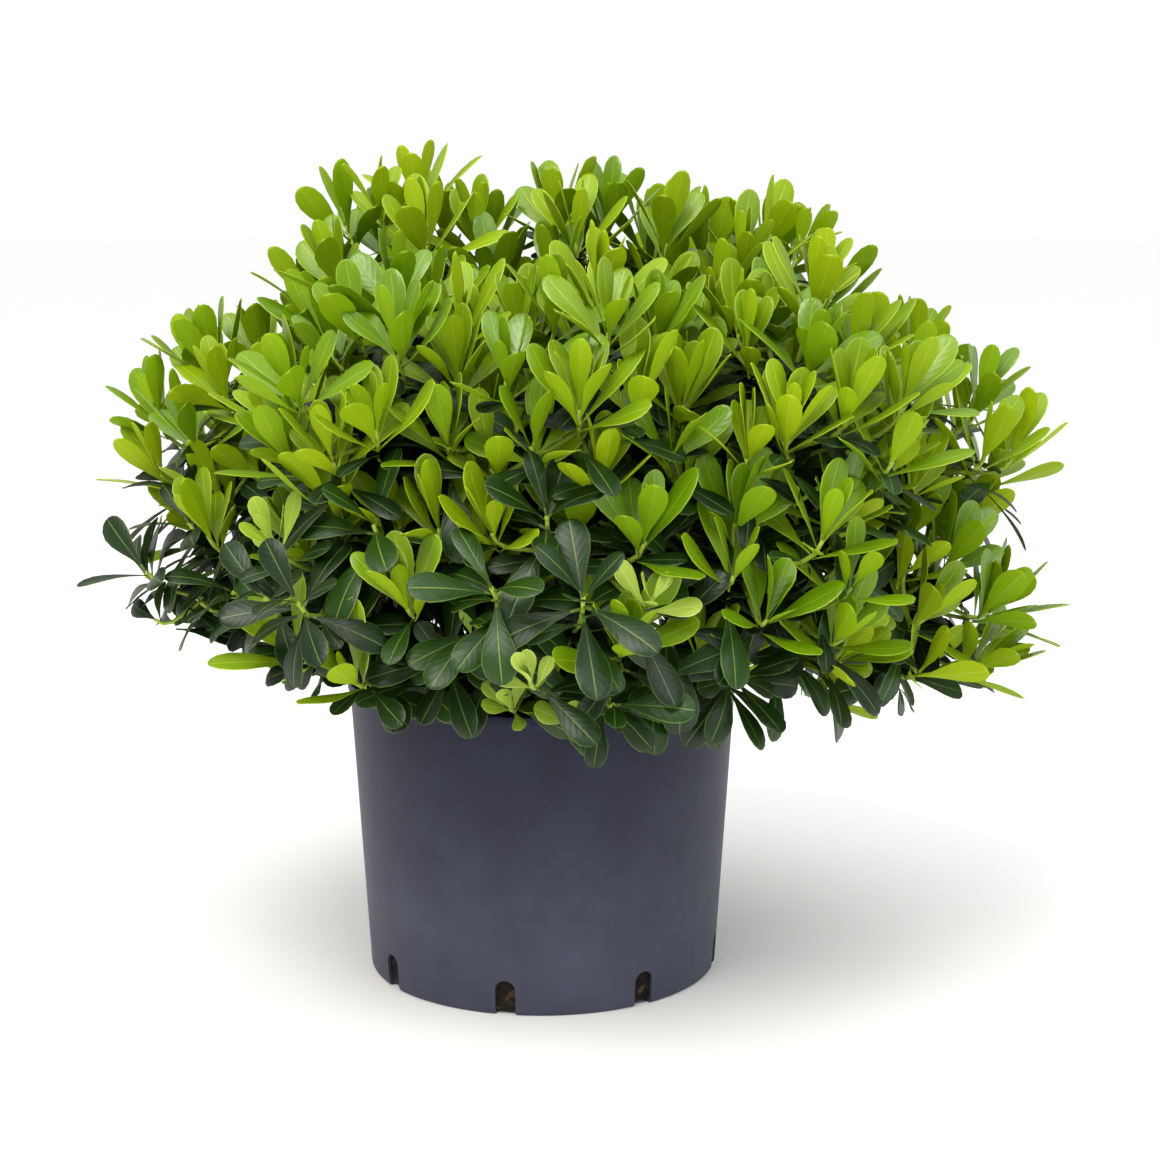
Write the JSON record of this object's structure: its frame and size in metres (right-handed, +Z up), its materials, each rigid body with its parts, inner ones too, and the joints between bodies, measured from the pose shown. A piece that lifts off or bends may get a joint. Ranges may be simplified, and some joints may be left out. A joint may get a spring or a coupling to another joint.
{
  "type": "potted wheeleri japanese pittosporum",
  "caption": "Rounded dwarf evergreen shrub with fans of spoon-shaped leaves on a short branching stem, filling a plain dark round nursery pot with arched drain slots at its foot.",
  "frame": {"origin": "centre of the pot's flat underside", "axes": "+Z up along the pot's axis, -Y towards the side that the picture shows, +X to the right as seen from there"},
  "size_m": [0.6829, 0.6315, 0.5793],
  "materials": {
    "pot_plastic": "satin",
    "growing_mix": "matte",
    "bark": "matte",
    "foliage": "satin"
  },
  "bodies": {
    "root": {"bough_back_low_centre": "bark", "bough_back_low_left": "bark", "bough_back_low_right": "bark", "bough_back_mid_left": "bark", "bough_back_mid_right": "bark", "bough_front_low_centre": "bark", "bough_front_low_left": "bark", "bough_front_low_right": "bark", "bough_front_mid_centre": "bark", "bough_front_mid_left": "bark", "bough_front_mid_right": "bark", "bough_side_left": "bark", "bough_side_right": "bark", "bough_skirt_left": "bark", "bough_skirt_right": "bark", "bough_top_centre": "bark", "bough_top_left": "bark", "bough_top_right": "bark", "mass_back_low_centre": "foliage", "mass_back_low_left": "foliage", "mass_back_low_right": "foliage", "mass_back_mid_left": "foliage", "mass_back_mid_right": "foliage", "mass_front_low_centre": "foliage", "mass_front_low_left": "foliage", "mass_front_low_right": "foliage", "mass_front_mid_centre": "foliage", "mass_front_mid_left": "foliage", "mass_front_mid_right": "foliage", "mass_side_left": "foliage", "mass_side_right": "foliage", "mass_skirt_left": "foliage", "mass_skirt_right": "foliage", "mass_top_centre": "foliage", "mass_top_left": "foliage", "mass_top_right": "foliage", "pot": "pot_plastic", "soil": "growing_mix", "stem": "bark"}
  },
  "joints": []
}
